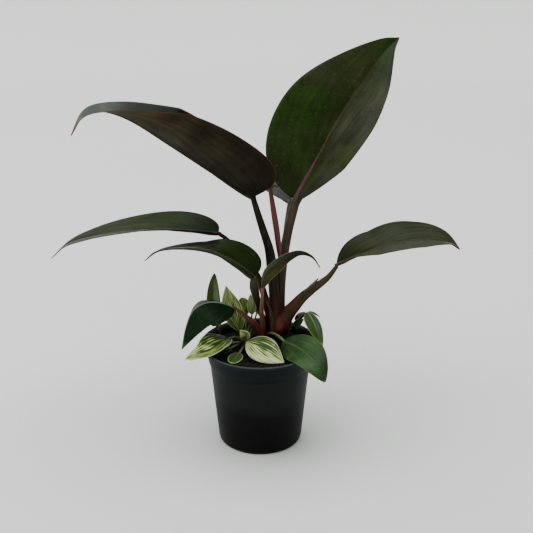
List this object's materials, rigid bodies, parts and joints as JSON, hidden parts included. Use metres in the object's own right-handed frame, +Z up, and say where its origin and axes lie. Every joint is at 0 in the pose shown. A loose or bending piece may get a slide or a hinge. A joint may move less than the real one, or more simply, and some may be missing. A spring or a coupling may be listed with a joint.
{
  "type": "potted plant",
  "caption": "Potted red congo philodendron in a black nursery pot, with long glossy leaves on red-brown stalks and a small striped companion plant at its foot.",
  "frame": {"origin": "centre of the pot's underside", "axes": "+Z up the pot's axis, -Y towards the plant's front, +X to the right as seen from the front"},
  "size_m": [0.3896, 0.1723, 0.3665],
  "materials": {
    "black_plastic": "moulded satin black polypropylene",
    "soil": "damp dark potting mix with light grains",
    "red_brown_stalk": "smooth, slightly glossy red-brown stalk",
    "red_sheath": "smooth red leaf sheath",
    "small_stalk": "smooth reddish young stalk",
    "pale_stalk": "smooth pale green stalk",
    "dark_leaf": "glossy dark green blade with a reddish midrib and margin",
    "green_leaf": "satin green young blade",
    "striped_leaf": "satin blade with cream and green stripes"
  },
  "bodies": {
    "root": {"pot": "black_plastic", "soil": "soil", "crown_and_stalks": "red_brown_stalk", "red_sheath": "red_sheath", "offset_stems": "small_stalk", "pale_stalk": "pale_stalk", "side_shoot_stem": "small_stalk", "back_shoot_stem": "small_stalk", "striped_stems": "pale_stalk", "upright_leaf": "dark_leaf", "upper_left_leaf": "dark_leaf", "rear_leaf": "dark_leaf", "mid_left_leaf": "dark_leaf", "low_left_leaf": "dark_leaf", "right_leaf": "dark_leaf", "centre_leaf": "green_leaf", "small_left_leaf": "green_leaf", "round_leaf": "green_leaf", "right_small_leaf": "green_leaf", "right_back_leaf": "green_leaf", "right_low_leaf": "green_leaf", "right_dark_leaf": "dark_leaf", "back_left_leaf": "green_leaf", "striped_leaf_1": "striped_leaf", "striped_leaf_2": "striped_leaf", "striped_leaf_3": "striped_leaf", "striped_leaf_4": "striped_leaf", "striped_leaf_5": "striped_leaf", "striped_leaf_6": "striped_leaf", "striped_leaf_7": "striped_leaf", "young_leaf": "green_leaf", "round_soil_leaf": "green_leaf", "shaded_leaf": "green_leaf"}
  },
  "joints": []
}
